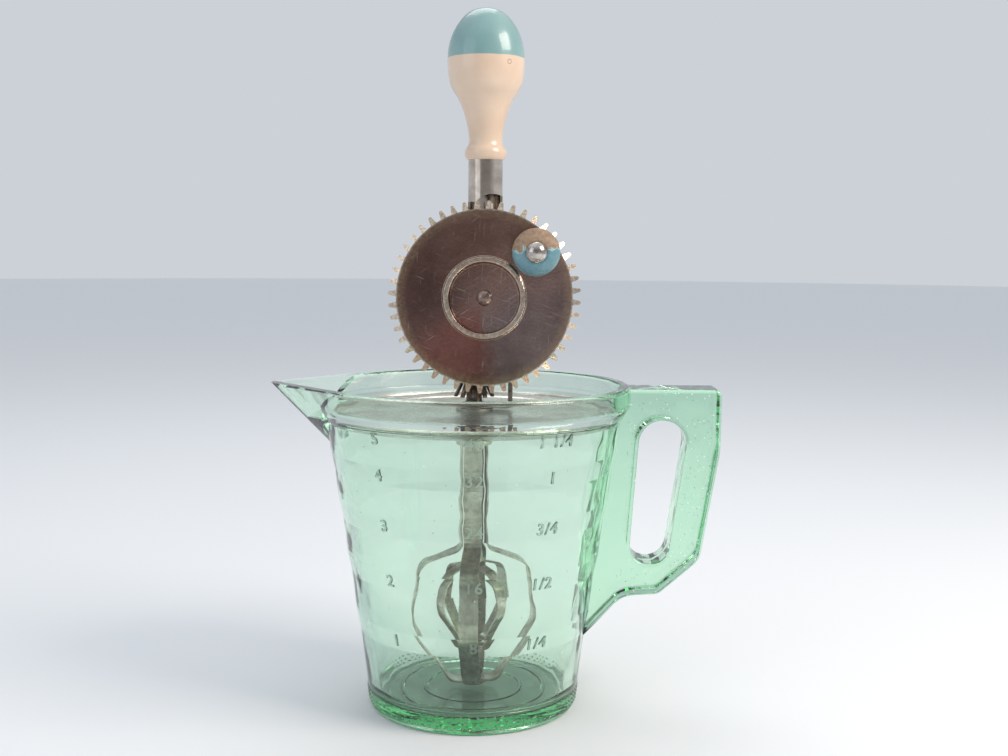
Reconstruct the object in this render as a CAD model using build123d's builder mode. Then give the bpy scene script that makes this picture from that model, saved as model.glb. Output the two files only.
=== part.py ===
"""A glass measuring jug with a hand-cranked mixer hung in its mouth.

The jug stands on z = 0 with its axis on Z, its spout towards -X and its handle towards +X.
The mixer's spindle is on the jug's axis. The gear wheel faces -Y. All sizes are millimetres.
"""

import os
from math import asin, copysign, cos, degrees, hypot, radians, sin, sqrt

from build123d import *

os.makedirs("parts", exist_ok=True)

# ---- Fits -----------------------------------------------------------------------------------
RUN = 0.05  # radial clearance of a shaft that turns in its hole
SEAT = 0.02  # radial clearance of pieces pressed or riveted into one another
SLIP = 0.5  # the lid's edge to the glass round it
LIFT_GAP = 0.3  # end play between faces that pass one another

# ---- Glass jug ------------------------------------------------------------------------------
JUG_H = 148.0
COLLAR_R = 71.0
COLLAR_WALL = 4.5
COLLAR_DEEP = 9.0  # height of the collar's straight outside
COLLAR_OUT = 4.4  # how far the collar stands out over the shoulder under it
LEDGE_DOWN = 13.5  # from the rim to the step inside that carries the lid
SHOULDER_DOWN = 16.0
FOOT_R = 47.4
WALL = 4.2
FLOOR_Z = 6.5
FLOOR_BEND = 7.0  # rounding between floor and wall, inside
FOOT_RING = 5.5  # width of the ring that the jug stands on
FOOT_HOLLOW = 1.2
FOOT_BEND = 2.5
MARK_DROPS = (33.5, 22.2, 24.5, 27.1)  # rim to the middle of the four-cup band, then band to band
MARK_STEP = 0.8  # how far the wall steps in over each band
MARK_BAND = 8.4  # height of each band
RIM_BEND = 1.9

SPOUT_OUT = 21.0  # how far the spout stands out of the collar
SPOUT_NOSE = 3.4  # half width of the spout's nose
SPOUT_DEEP = 29.0  # how far the spout runs down the wall
SPOUT_WALL = 3.8
SPOUT_CHEEK = 5.3  # thickness of the spout's sides at the rim
SPOUT_GROOVE = 1.6  # half width of its channel at the nose
THROAT_SHARE = 0.55  # the channel's width at the ledge, as a share of the spout's root

GRIP_OUT = 40.4  # how far the grip stands out of the collar
GRIP_TOP_DOWN = 1.2
GRIP_THICK = 21.0
GRIP_EDGE = 1.6
GRIP_BACK_DOWN = 28.0  # where the grip's back starts to lean in, below the rim
GRIP_HEEL = (32.0, 79.0)  # these points are out from the collar and down from the rim
GRIP_SOLE = (13.5, 95.0)
GRIP_STEP = (-3.0, 96.0)
GRIP_FOOT_DOWN = 115.0
GRIP_BENDS = (2.5, 30.0, 12.0, 6.0, 14.0, 0.5)
SLOT_TOP = (14.2, 26.1)
SLOT_TOP_R = 10.8
SLOT_FOOT = (9.2, 72.1)
SLOT_FOOT_R = 9.0

# ---- Lid ------------------------------------------------------------------------------------
LID_SHEET = 0.8
LID_BEAD_R = 1.2
LID_FLANGE_W = 9.0
LID_PLATEAU_W = 12.0
LID_PLATEAU_UP = 1.4
LID_DISH_DOWN = 0.6
LID_STEP_RUN = 1.5  # width of the slope between the sunk middle and the raised ring
LID_EDGE_RUN = 2.0  # width of the slope between the raised ring and the flange
LID_BEND = 0.7
HUB_R = 5.4
HUB_FLANGE_R = 8.4
HUB_FLANGE_T = 0.8
HUB_DROP = 3.5  # how far the hub reaches below the ledge
HUB_RISE = 0.3  # how far it stands over its flange, under the bracket

# ---- Spindle, bracket and pinion ------------------------------------------------------------
SPINDLE_R = 1.75
BRACKET_T = 2.0
BRACKET_TALL = 16.4
BRACKET_LEFT = -6.0
BRACKET_RIGHT = 17.4
BRACKET_DEEP = 8.0
BRACKET_BEND = 3.0
BUSH_R = 3.2
BUSH_FLANGE_R = 4.4
BUSH_FLANGE_T = 0.6
SPINDLE_END_UP = 1.2  # how far the spindle stands out of its upper bush
THRUST_T = 0.6
THRUST_R = 4.2

PINION_TEETH = 10
PINION_HUB_R = 3.6
PINION_DOWN = 1.6  # gap between the pinion and the bracket's upper arm
PINION_PLATE_R = 6.4
PINION_PLATE_T = 1.2
FINGER_TOP_R = 5.6
FINGER_SHY = 0.2  # how far the finger tips stay behind the wheel's back face
FINGER_DROP = 7.7
FINGER_WIDE = 1.7
FINGER_THICK = 1.3

# ---- Gear wheel -----------------------------------------------------------------------------
FRAME_X = 4.5  # the handle and the wheel stand this far beside the spindle
MESH_DEEP = 2.0  # how far the finger tips reach below the lowest tooth
WHEEL_BACK = 9.6  # the wheel's back face, in front of the spindle's axis
WHEEL_SHEET = 1.0
WHEEL_TEETH = 48
WHEEL_ROOT_R = 39.3
TOOTH_LONG = 3.7
TOOTH_LEAN = 1.9  # how far the tooth tips are bent back
TOOTH_ROOT_W = 2.9
TOOTH_TIP_W = 1.7
RING_R = 18.8
RING_W = 3.0
RING_UP = 1.0
RING_BEND = 0.6
DISH_BACK = 0.9
AXLE_R = 2.5
AXLE_HEAD_R = 3.6
AXLE_HEAD_T = 2.0
AXLE_TAIL_R = 3.4
AXLE_TAIL_T = 1.2
SPACER_R = 4.5
WASHER_R = 6.5
WASHER_T = 0.75

# ---- Crank knob -----------------------------------------------------------------------------
KNOB_INSET = 8.9  # from the roots of the teeth in to the middle of the knob
CRANK_ANGLE = 42.6
KNOB_R = 10.3
KNOB_NECK_R = 6.6
KNOB_LONG = 22.5
KNOB_NECK_AT = 0.2  # the knob's places are shares of its length from the wheel
KNOB_WIDEST_AT = 0.68
KNOB_END_R = 5.5
KNOB_STUD_R = 2.0
KNOB_HEAD_R = 4.7
KNOB_HEAD_T = 3.0
KNOB_WASHER_R = 5.4
KNOB_WASHER_T = 0.8
STUD_TAIL_R = 3.2
STUD_TAIL_T = 1.0

# ---- Frame and handle -----------------------------------------------------------------------
TUBE_R = 7.75
TUBE_SHEET = 1.05
LIP_UP = 42.4  # from the wheel's axle to the lowest point of the closed ferrule
FERRULE_LONG = 18.7
ARCH_SIDE = 3.5  # the arch cut in the ferrule is off its middle
ARCH_DOWN = 6.5
ARCH_R = 10.0
TENON_LONG = 12.4
BEAD_FOOT_R = 8.35
BEAD_R = 9.4  # the heights of the handle's forms are over the ferrule's top
BEAD_UP = 2.9
BEAD_TOP = (8.5, 5.5)
NECK_R = 7.75
NECK_UP = 11.9
SHANK_R = 12.65
SHANK_UP = 27.2
GRIP_R = 17.1
GRIP_UP = 44.1
HANDLE_UP = 66.2
NAIL_R = 0.9
NAIL_HEAD_R = 1.9
NAIL_HEAD_T = 0.7
NAIL_LONG = 6.0
NAIL_DOWN = 6.4  # from the ferrule's top
TAB_T = 1.0
TAB_W = 6.5
TAB_UP = 13.0
TAB_RIVET_R = 1.1
TAB_RIVET_HEAD_R = 2.0
TAB_RIVET_HEAD_T = 0.7
TAB_RIVET_STEPS = (4.0, 9.0)  # heights of the two rivets above the bracket

# ---- Dasher ---------------------------------------------------------------------------------
STRIP_T = 0.8
COLLAR_T = 5.0
BAND_FIT = 0.11  # clearance of the strips inside their band
BAND_T = 0.7
BAND_H = 6.0
OUTER_BELLY_R = 29.5
INNER_BELLY_R = 20.5
OUTER_HALF_W = 4.2
INNER_HALF_W = 2.5
INNER_SPLIT = 0.05  # clearance of the inner strips' edges to one another
OUTER_SPLIT = 0.12  # clearance of the outer strips to the inner ones' corners
OUTER_KINK_UP = 62.8  # kink heights are over each loop's own crossing
INNER_KINK_UP = 38.6
FOOT_CLEAR = 0.5  # the foot's height above the jug's floor
FOOT_HEAD_R = 3.2
FOOT_HEAD_T = 1.2
FOOT_WASHER_R = 6.2
FOOT_WASHER_T = 1.0
FOOT_RIVET_R = 0.9
FOOT_RIVET_IN = 5.0  # how far the rivet reaches up into the spindle
INNER_FOOT_UP = 17.2  # the inner loops' crossing over the outer ones'
STRIP_STAND = 0.3  # clearance between one outer strip and the other outside it
SHOULDER_SHARE = (0.86, 0.12)  # a loop's shoulder: share of its belly radius, of its height
BELLY_SHARE = 0.46  # height of a loop's widest place
HEEL_SHARE = 0.36  # share of the belly radius at which the crossing starts
LOOP_BENDS = (4.0, 8.0, 14.0, 6.0)

# ---- Places worked out from the sizes -------------------------------------------------------
COLLAR_BORE_R = COLLAR_R - COLLAR_WALL
COLLAR_FOOT_Z = JUG_H - COLLAR_DEEP
LEDGE_Z = JUG_H - LEDGE_DOWN
SHOULDER_R = COLLAR_R - COLLAR_OUT
SHOULDER_Z = JUG_H - SHOULDER_DOWN
MARK_HEIGHTS = [JUG_H - sum(MARK_DROPS[:count]) for count in range(len(MARK_DROPS), 0, -1)]
SPOUT_REACH = COLLAR_R + SPOUT_OUT
SPOUT_ROOT_Z = JUG_H - SPOUT_DEEP
GRIP_TOP_Z = JUG_H - GRIP_TOP_DOWN
GRIP_FOOT_Z = JUG_H - GRIP_FOOT_DOWN
LID_R = COLLAR_BORE_R - SLIP
LID_PLATEAU_R = LID_R - LID_FLANGE_W
LID_DISH_R = LID_PLATEAU_R - LID_PLATEAU_W
LID_TOP_Z = LEDGE_Z + LID_SHEET
DISH_Z = LEDGE_Z + LID_PLATEAU_UP - LID_DISH_DOWN  # underside of the lid's middle
HUB_FOOT_Z = LEDGE_Z - HUB_DROP
COLLAR_TOP_Z = HUB_FOOT_Z - LIFT_GAP
STRIP_TOP_Z = COLLAR_TOP_Z - COLLAR_T
FOOT_Z = FLOOR_Z + FOOT_CLEAR
WASHER_Z = FOOT_Z + FOOT_HEAD_T
CROSS_Z = WASHER_Z + FOOT_WASHER_T  # underside of the lower crossing strip
SPINDLE_FOOT_Z = CROSS_Z + 2 * STRIP_T
BRACKET_FOOT_Z = DISH_Z + LID_SHEET + HUB_FLANGE_T + HUB_RISE
BRACKET_HEAD_Z = BRACKET_FOOT_Z + BRACKET_TALL
BRACKET_FLOOR_Z = BRACKET_FOOT_Z + BRACKET_T
BRACKET_ROOF_Z = BRACKET_HEAD_Z - BRACKET_T
THRUST_Z = BRACKET_FLOOR_Z + 0.1
PINION_FOOT_Z = THRUST_Z + THRUST_T
PINION_TOP_Z = BRACKET_ROOF_Z - PINION_DOWN
FINGER_FOOT_Z = PINION_TOP_Z - FINGER_DROP
FINGER_FOOT_R = WHEEL_BACK - FINGER_SHY
WHEEL_TIP_R = WHEEL_ROOT_R + TOOTH_LONG
CRANK_R = WHEEL_ROOT_R - KNOB_INSET
WHEEL_Z = FINGER_FOOT_Z + MESH_DEEP + WHEEL_TIP_R
DISH_FRONT = -(WHEEL_BACK + WHEEL_SHEET - DISH_BACK)  # front of the wheel's sunk middle
DISH_REAR = DISH_FRONT + WHEEL_SHEET
SPACER_FRONT = DISH_REAR + RUN + WASHER_T
MESH_R = (WHEEL_ROOT_R + WHEEL_TIP_R) / 2
MESH_ANGLE = degrees(asin(FRAME_X / MESH_R))
TOOTH_PITCH = 360 / WHEEL_TEETH
FIRST_TOOTH = MESH_ANGLE - TOOTH_PITCH / 2  # from straight down, so a gap faces the pinion
KNOB_X = FRAME_X + CRANK_R * cos(radians(CRANK_ANGLE))
KNOB_Z = WHEEL_Z + CRANK_R * sin(radians(CRANK_ANGLE))
WHEEL_FACE = -(WHEEL_BACK + WHEEL_SHEET)
KNOB_BACK = WHEEL_FACE - KNOB_WASHER_T - RUN
KNOB_FRONT = KNOB_BACK - KNOB_LONG
TUBE_BORE_R = TUBE_R - TUBE_SHEET
TUBE_LIP_Z = WHEEL_Z + LIP_UP
TUBE_TOP_Z = TUBE_LIP_Z + FERRULE_LONG
NAIL_Z = TUBE_TOP_Z - NAIL_DOWN
INNER_INSIDE_R = INNER_HALF_W + INNER_SPLIT  # distance of a strip's inner face from the axis
OUTER_A_R = hypot(INNER_INSIDE_R + STRIP_T, INNER_HALF_W) + OUTER_SPLIT
OUTER_B_R = OUTER_A_R + STRIP_T + STRIP_STAND
DASHER_COLLAR_R = hypot(OUTER_B_R + STRIP_T, OUTER_HALF_W) + BAND_FIT + BAND_T

FRAME_AXIS = Axis((FRAME_X, 0, 0), (0, 0, 1))
HANDLE_PLANE = Plane(origin=(FRAME_X, 0, TUBE_TOP_Z), x_dir=(1, 0, 0), z_dir=(0, -1, 0))
WHEEL_PLANE = Plane((FRAME_X, 0, WHEEL_Z))  # local x is the radius, local y runs along Y
WHEEL_AXIS = Axis((FRAME_X, 0, WHEEL_Z), (0, 1, 0))
KNOB_PLANE = Plane((KNOB_X, 0, KNOB_Z))
KNOB_AXIS = Axis((KNOB_X, 0, KNOB_Z), (0, 1, 0))


def upright(azimuth):
    """The plane through the spindle's axis at an azimuth, with local y up."""
    a = radians(azimuth)
    return Plane(origin=(0, 0, 0), x_dir=(cos(a), sin(a), 0), z_dir=(sin(a), -cos(a), 0))


def wall_r(z):
    """Outer radius of the jug's wall without its steps."""
    lean = (SHOULDER_R - FOOT_R - len(MARK_HEIGHTS) * MARK_STEP) / SHOULDER_Z
    steps = sum(MARK_STEP for mark in MARK_HEIGHTS if z > mark)
    return FOOT_R + lean * z + steps


def crest(radius, base, top):
    """Halfway point of a ball-shaped cap's outline, from (radius, base) to (0, top)."""
    rise = abs(top - base)
    ball = (radius**2 + rise**2) / (2 * rise)
    half = asin(radius / ball) / 2
    return (ball * sin(half), top + copysign(ball * (1 - cos(half)), base - top))


def save(part, name):
    """Label a finished piece and write it."""
    part.part.label = name
    export_step(part.part, f"parts/{name}.step")


# ---- The jug: one pressed piece of glass ----------------------------------------------------
outline = [(0, FOOT_HOLLOW), (FOOT_R - FOOT_RING - FOOT_HOLLOW, FOOT_HOLLOW)]
outline += [(FOOT_R - FOOT_RING, 0), (FOOT_R, 0)]
bends = [FOOT_HOLLOW / 2, FOOT_HOLLOW / 2, FOOT_BEND]
for mark in MARK_HEIGHTS:
    outline += [(wall_r(mark - MARK_BAND / 2), mark - MARK_BAND / 2)]
    outline += [(wall_r(mark + MARK_BAND / 2), mark + MARK_BAND / 2)]
    bends += [0, 0]
outline += [(SHOULDER_R, SHOULDER_Z), (COLLAR_R, COLLAR_FOOT_Z), (COLLAR_R, JUG_H)]
bends += [MARK_STEP, COLLAR_OUT, RIM_BEND]
outline += [(COLLAR_BORE_R - SPOUT_WALL, JUG_H)]

nose_x = -SPOUT_REACH + SPOUT_NOSE
lead = asin((COLLAR_R - SPOUT_NOSE) / -nose_x)  # the spout's sides leave the collar tangent
root_x, root_y = -COLLAR_R * sin(lead), COLLAR_R * cos(lead)
foot_nose_x = -wall_r(SPOUT_ROOT_Z) + SPOUT_NOSE / 2
drop = (JUG_H - LEDGE_Z) / (JUG_H - SPOUT_ROOT_Z)
ledge_nose_x = nose_x + drop * (foot_nose_x - nose_x) + SPOUT_WALL

with BuildPart() as glass_jug:
    with BuildSketch(Plane.XZ):
        with BuildLine():
            wall_line = FilletPolyline(*outline, radius=bends)
            Polyline(wall_line @ 1, (0, JUG_H), (0, FOOT_HOLLOW))
        make_face()
    revolve(axis=Axis.Z)
    # the spout: from a teardrop at the rim down into the wall
    with BuildSketch(Plane.XY.offset(JUG_H)) as spout_top:
        with BuildLine():
            Polyline((root_x, root_y), (-SPOUT_REACH, SPOUT_NOSE), (-SPOUT_REACH, -SPOUT_NOSE),
                     (root_x, -root_y), close=True)
        make_face()
        fillet(spout_top.vertices().group_by(Axis.X)[0], SPOUT_NOSE * 0.9)
    with BuildSketch(Plane.XY.offset(SPOUT_ROOT_Z)) as spout_foot:
        with BuildLine():
            Polyline((root_x, root_y / 2), (foot_nose_x, SPOUT_NOSE), (foot_nose_x, -SPOUT_NOSE),
                     (root_x, -root_y / 2), close=True)
        make_face()
        fillet(spout_foot.vertices().group_by(Axis.X)[0], SPOUT_NOSE * 0.9)
    loft()

# the grip: a slab with a finger slot, rounded before it joins the wall
grip_line = [(COLLAR_BORE_R, GRIP_TOP_Z)]
grip_line += [
    (COLLAR_R + out, JUG_H - down)
    for out, down in ((GRIP_OUT, GRIP_TOP_DOWN), (GRIP_OUT, GRIP_BACK_DOWN),
                      GRIP_HEEL, GRIP_SOLE, GRIP_STEP)
]
grip_line += [(wall_r(GRIP_FOOT_Z) - inside, GRIP_FOOT_Z) for inside in (1, WALL)]
with BuildPart() as grip:
    with BuildSketch(Plane.XZ):
        with BuildLine():
            edge = FilletPolyline(*grip_line, radius=GRIP_BENDS)
            Line(edge @ 1, edge @ 0)
        make_face()
    extrude(amount=GRIP_THICK / 2, both=True)
    with BuildSketch(Plane.XZ):
        with BuildLine():
            for (out, down), r in ((SLOT_TOP, SLOT_TOP_R), (SLOT_FOOT, SLOT_FOOT_R)):
                CenterArc((COLLAR_R + out, JUG_H - down), r, 0, 360)
        make_hull()
    extrude(amount=GRIP_THICK, both=True, mode=Mode.SUBTRACT)
    rims = grip.faces().filter_by(Axis.Y).edges().filter_by(lambda e: e.center().X > COLLAR_R)
    fillet(rims, GRIP_EDGE)

with BuildPart() as cavity:
    with BuildSketch(Plane.XZ) as bowl:
        with BuildLine():
            Polyline((0, FLOOR_Z), (wall_r(0) - WALL, FLOOR_Z), (SHOULDER_R - WALL, LEDGE_Z),
                     (COLLAR_BORE_R, LEDGE_Z), (COLLAR_BORE_R, JUG_H + 1), (0, JUG_H + 1),
                     close=True)
        make_face()
        corner = bowl.vertices().group_by(Axis.Y)[0].sort_by(Axis.X)[-1]
        fillet(corner, FLOOR_BEND)
    revolve(axis=Axis.Z)
    with BuildSketch(Plane.XY.offset(JUG_H + 1)) as mouth:
        with BuildLine():
            Polyline((root_x, root_y - SPOUT_CHEEK), (-SPOUT_REACH + SPOUT_WALL, SPOUT_GROOVE),
                     (-SPOUT_REACH + SPOUT_WALL, -SPOUT_GROOVE), (root_x, SPOUT_CHEEK - root_y),
                     close=True)
        make_face()
        fillet(mouth.vertices().group_by(Axis.X)[0], SPOUT_GROOVE * 0.9)
    with BuildSketch(Plane.XY.offset(LEDGE_Z)) as throat:
        with BuildLine():
            Polyline((root_x, root_y * THROAT_SHARE), (ledge_nose_x, SPOUT_GROOVE),
                     (ledge_nose_x, -SPOUT_GROOVE), (root_x, -root_y * THROAT_SHARE), close=True)
        make_face()
        fillet(throat.vertices().group_by(Axis.X)[0], SPOUT_GROOVE * 0.9)
    loft()

with glass_jug:
    add(grip.part)
    add(cavity.part, mode=Mode.SUBTRACT)
save(glass_jug, "glass_jug")

# ---- The lid: a pressed disc with a rolled edge ---------------------------------------------
with BuildPart() as lid_pan:
    with BuildSketch(Plane.XZ) as section:
        with BuildLine():
            rise = LID_PLATEAU_UP
            fall = LID_PLATEAU_UP - LID_DISH_DOWN
            bevel = LID_SHEET / 2  # how far the slopes' feet differ between top and underside
            upper = FilletPolyline(
                (HUB_R + SEAT, LID_TOP_Z + fall), (LID_DISH_R, LID_TOP_Z + fall),
                (LID_DISH_R + LID_STEP_RUN, LID_TOP_Z + rise), (LID_PLATEAU_R, LID_TOP_Z + rise),
                (LID_PLATEAU_R + LID_EDGE_RUN, LID_TOP_Z), (LID_R - LID_BEAD_R, LID_TOP_Z), radius=LID_BEND)
            lower = Polyline(
                (HUB_R + SEAT, LEDGE_Z + fall), (LID_DISH_R + bevel, LEDGE_Z + fall),
                (LID_DISH_R + LID_STEP_RUN + bevel, LEDGE_Z + rise),
                (LID_PLATEAU_R - bevel, LEDGE_Z + rise),
                (LID_PLATEAU_R + LID_EDGE_RUN - bevel, LEDGE_Z),
                (LID_R - LID_BEAD_R, LEDGE_Z))
            Line(upper @ 0, lower @ 0)
            Line(upper @ 1, lower @ 1)
        make_face()
        with Locations((LID_R - LID_BEAD_R, LEDGE_Z + LID_BEAD_R)):
            Circle(LID_BEAD_R)
    revolve(axis=Axis.Z)
save(lid_pan, "lid_pan")

with BuildPart() as lid_hub:
    with BuildSketch(Plane.XY.offset(HUB_FOOT_Z)):
        Circle(HUB_R)
    extrude(amount=BRACKET_FOOT_Z - HUB_FOOT_Z)
    with BuildSketch(Plane.XY.offset(DISH_Z + LID_SHEET)):
        Circle(HUB_FLANGE_R)
    extrude(amount=HUB_FLANGE_T)
    fillet(lid_hub.edges().filter_by(GeomType.CIRCLE).sort_by(SortBy.RADIUS)[-1], 0.3)
    Cylinder(SPINDLE_R + RUN, JUG_H * 2, mode=Mode.SUBTRACT)
save(lid_hub, "lid_hub")

with BuildPart() as hub_clinch_ring:
    with BuildSketch(Plane.XY.offset(DISH_Z)):
        Circle(HUB_FLANGE_R - 0.6)
        Circle(HUB_R + SEAT, mode=Mode.SUBTRACT)
    extrude(amount=-HUB_FLANGE_T)
save(hub_clinch_ring, "hub_clinch_ring")

# ---- The bearing bracket: a bent strip that holds the spindle over and under its pinion ------
with BuildPart() as bearing_bracket:
    with BuildSketch(Plane.XZ) as strip:
        with Locations((BRACKET_LEFT, BRACKET_FOOT_Z)):
            Rectangle(BRACKET_RIGHT - BRACKET_LEFT, BRACKET_HEAD_Z - BRACKET_FOOT_Z,
                      align=(Align.MIN, Align.MIN))
        fillet(strip.vertices().group_by(Axis.X)[-1], BRACKET_BEND)
        with Locations((BRACKET_LEFT, BRACKET_FLOOR_Z)):
            Rectangle(BRACKET_RIGHT - BRACKET_T - BRACKET_LEFT, BRACKET_ROOF_Z - BRACKET_FLOOR_Z,
                      align=(Align.MIN, Align.MIN), mode=Mode.SUBTRACT)
    extrude(amount=BRACKET_DEEP / 2, both=True)
    ends = bearing_bracket.edges().filter_by(Axis.Z).group_by(Axis.X)[0]
    fillet(ends, BRACKET_DEEP / 2 - 0.6)
    # the tab that runs back and up inside the frame
    with BuildSketch(Plane.XY.offset(BRACKET_ROOF_Z)):
        with Locations((FRAME_X, 0)):
            Rectangle(TAB_W, TUBE_BORE_R - SEAT - TAB_T / 2, align=(Align.CENTER, Align.MIN))
    extrude(amount=BRACKET_T)
    with BuildSketch(Plane.XY.offset(BRACKET_ROOF_Z)) as tab:
        with Locations((FRAME_X, 0)):
            Circle(TUBE_BORE_R - SEAT)
            Circle(TUBE_BORE_R - SEAT - TAB_T, mode=Mode.SUBTRACT)
            Rectangle(TAB_W, TUBE_R, align=(Align.CENTER, Align.MIN), mode=Mode.INTERSECT)
    extrude(amount=BRACKET_T + TAB_UP)
    # holes: the spindle below, its bush above, and the rivets
    with BuildSketch(Plane.XY.offset(BRACKET_FOOT_Z)):
        Circle(SPINDLE_R + RUN)
    extrude(amount=BRACKET_T, mode=Mode.SUBTRACT)
    with BuildSketch(Plane.XY.offset(BRACKET_ROOF_Z)):
        Circle(BUSH_R + SEAT)
    extrude(amount=BRACKET_T, mode=Mode.SUBTRACT)
    with BuildSketch(Plane.XZ):
        for step in TAB_RIVET_STEPS:
            with Locations((FRAME_X, BRACKET_HEAD_Z + step)):
                Circle(TAB_RIVET_R + SEAT)
    extrude(amount=-TUBE_R, mode=Mode.SUBTRACT)
save(bearing_bracket, "bearing_bracket")

with BuildPart() as upper_bush:
    with BuildSketch(Plane.XY.offset(BRACKET_ROOF_Z - BUSH_FLANGE_T)):
        Circle(BUSH_FLANGE_R)
    extrude(amount=BUSH_FLANGE_T)
    with BuildSketch(Plane.XY.offset(BRACKET_ROOF_Z)):
        Circle(BUSH_R)
    extrude(amount=BRACKET_T)
    Cylinder(SPINDLE_R + RUN, BRACKET_HEAD_Z * 2 + 1, mode=Mode.SUBTRACT)
save(upper_bush, "upper_bush")

# ---- The frame: a ferrule that opens into a half-round channel behind the wheel --------------
with BuildPart() as frame_channel:
    with BuildSketch(Plane.XY.offset(BRACKET_HEAD_Z)):
        with Locations((FRAME_X, 0)):
            Circle(TUBE_R)
            Circle(TUBE_BORE_R, mode=Mode.SUBTRACT)
    extrude(amount=TUBE_TOP_Z - BRACKET_HEAD_Z)
    with BuildSketch(Plane.XZ):
        with Locations((FRAME_X, BRACKET_HEAD_Z)):
            Rectangle(TUBE_R * 3, TUBE_LIP_Z - BRACKET_HEAD_Z, align=(Align.CENTER, Align.MIN))
        with Locations((FRAME_X + ARCH_SIDE, TUBE_LIP_Z - ARCH_DOWN)):
            Circle(ARCH_R)
    extrude(amount=TUBE_R * 2, mode=Mode.SUBTRACT)
    with BuildSketch(Plane.XZ):
        with Locations((FRAME_X, WHEEL_Z)):
            Circle(AXLE_R + SEAT)
        for step in TAB_RIVET_STEPS:
            with Locations((FRAME_X, BRACKET_HEAD_Z + step)):
                Circle(TAB_RIVET_R + SEAT)
        with Locations((FRAME_X, NAIL_Z)):
            Circle(NAIL_R + SEAT)
    extrude(amount=-TUBE_R * 2, mode=Mode.SUBTRACT)
save(frame_channel, "frame_channel")

with BuildPart() as bracket_rivets:
    for step in TAB_RIVET_STEPS:
        rivet_z = BRACKET_HEAD_Z + step
        with BuildSketch(Plane.XZ.offset(-(TUBE_BORE_R - SEAT - TAB_T))):
            with Locations((FRAME_X, rivet_z)):
                Circle(TAB_RIVET_R)
        extrude(amount=-(TAB_T + TUBE_SHEET + SEAT))
        with BuildSketch(Plane.XZ.offset(-TUBE_R)):
            with Locations((FRAME_X, rivet_z)):
                Circle(TAB_RIVET_HEAD_R)
        extrude(amount=-TAB_RIVET_HEAD_T, taper=30)
save(bracket_rivets, "bracket_rivets")

with BuildPart() as handle_grip:
    with BuildSketch(HANDLE_PLANE):
        with BuildLine():
            foot = Polyline((0, -TENON_LONG), (TUBE_BORE_R - SEAT, -TENON_LONG),
                            (TUBE_BORE_R - SEAT, 0), (BEAD_FOOT_R, 0))
            bead = ThreePointArc(foot @ 1, (BEAD_R, BEAD_UP), BEAD_TOP)
            body = Spline(bead @ 1, (NECK_R, NECK_UP), (SHANK_R, SHANK_UP), (GRIP_R, GRIP_UP),
                          tangents=((-1, 1), (0, 1)))
            crown = HANDLE_UP - GRIP_UP
            dome = Spline((GRIP_R, GRIP_UP), (GRIP_R * sqrt(0.5), GRIP_UP + crown * sqrt(0.5)),
                          (0, HANDLE_UP), tangents=((0, 1), (-1, 0)))
            Line(dome @ 1, foot @ 0)
        make_face()
    revolve(axis=FRAME_AXIS)
    with BuildSketch(Plane.XZ.offset(-(TUBE_R - NAIL_LONG))):
        with Locations((FRAME_X, NAIL_Z)):
            Circle(NAIL_R + SEAT)
    extrude(amount=-NAIL_LONG, mode=Mode.SUBTRACT)
save(handle_grip, "handle_grip")

with BuildPart() as ferrule_nail:
    with BuildSketch(Plane.XZ.offset(-(TUBE_R - NAIL_LONG))):
        with Locations((FRAME_X, NAIL_Z)):
            Circle(NAIL_R)
    extrude(amount=-NAIL_LONG)
    with BuildSketch(Plane.XZ.offset(-TUBE_R)):
        with Locations((FRAME_X, NAIL_Z)):
            Circle(NAIL_HEAD_R)
    extrude(amount=-NAIL_HEAD_T, taper=25)
save(ferrule_nail, "ferrule_nail")

# ---- The axle that the wheel turns on ---------------------------------------------------------
with BuildPart() as wheel_axle:
    head_back = DISH_FRONT - RUN
    with BuildSketch(WHEEL_PLANE):
        with BuildLine():
            tail = TUBE_R + AXLE_TAIL_T
            shaft = Polyline((0, tail), (AXLE_TAIL_R, tail), (AXLE_TAIL_R, TUBE_R),
                             (AXLE_R, TUBE_R), (AXLE_R, head_back), (AXLE_HEAD_R, head_back))
            tip = head_back - AXLE_HEAD_T
            cap = ThreePointArc(shaft @ 1, crest(AXLE_HEAD_R, head_back, tip), (0, tip))
            Line(cap @ 1, shaft @ 0)
        make_face()
    revolve(axis=WHEEL_AXIS)
save(wheel_axle, "wheel_axle")

with BuildPart() as axle_spacer:
    with BuildSketch(WHEEL_PLANE):
        with Locations((AXLE_R + SEAT, SPACER_FRONT)):
            Rectangle(SPACER_R - AXLE_R - SEAT,
                      sqrt(TUBE_BORE_R**2 - SPACER_R**2) - SEAT - SPACER_FRONT,
                      align=(Align.MIN, Align.MIN))
    revolve(axis=WHEEL_AXIS)
save(axle_spacer, "axle_spacer")

with BuildPart() as axle_washer:
    with BuildSketch(WHEEL_PLANE):
        with Locations((AXLE_R + SEAT, SPACER_FRONT - WASHER_T)):
            Rectangle(WASHER_R - AXLE_R - SEAT, WASHER_T, align=(Align.MIN, Align.MIN))
    revolve(axis=WHEEL_AXIS)
save(axle_washer, "axle_washer")

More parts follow.
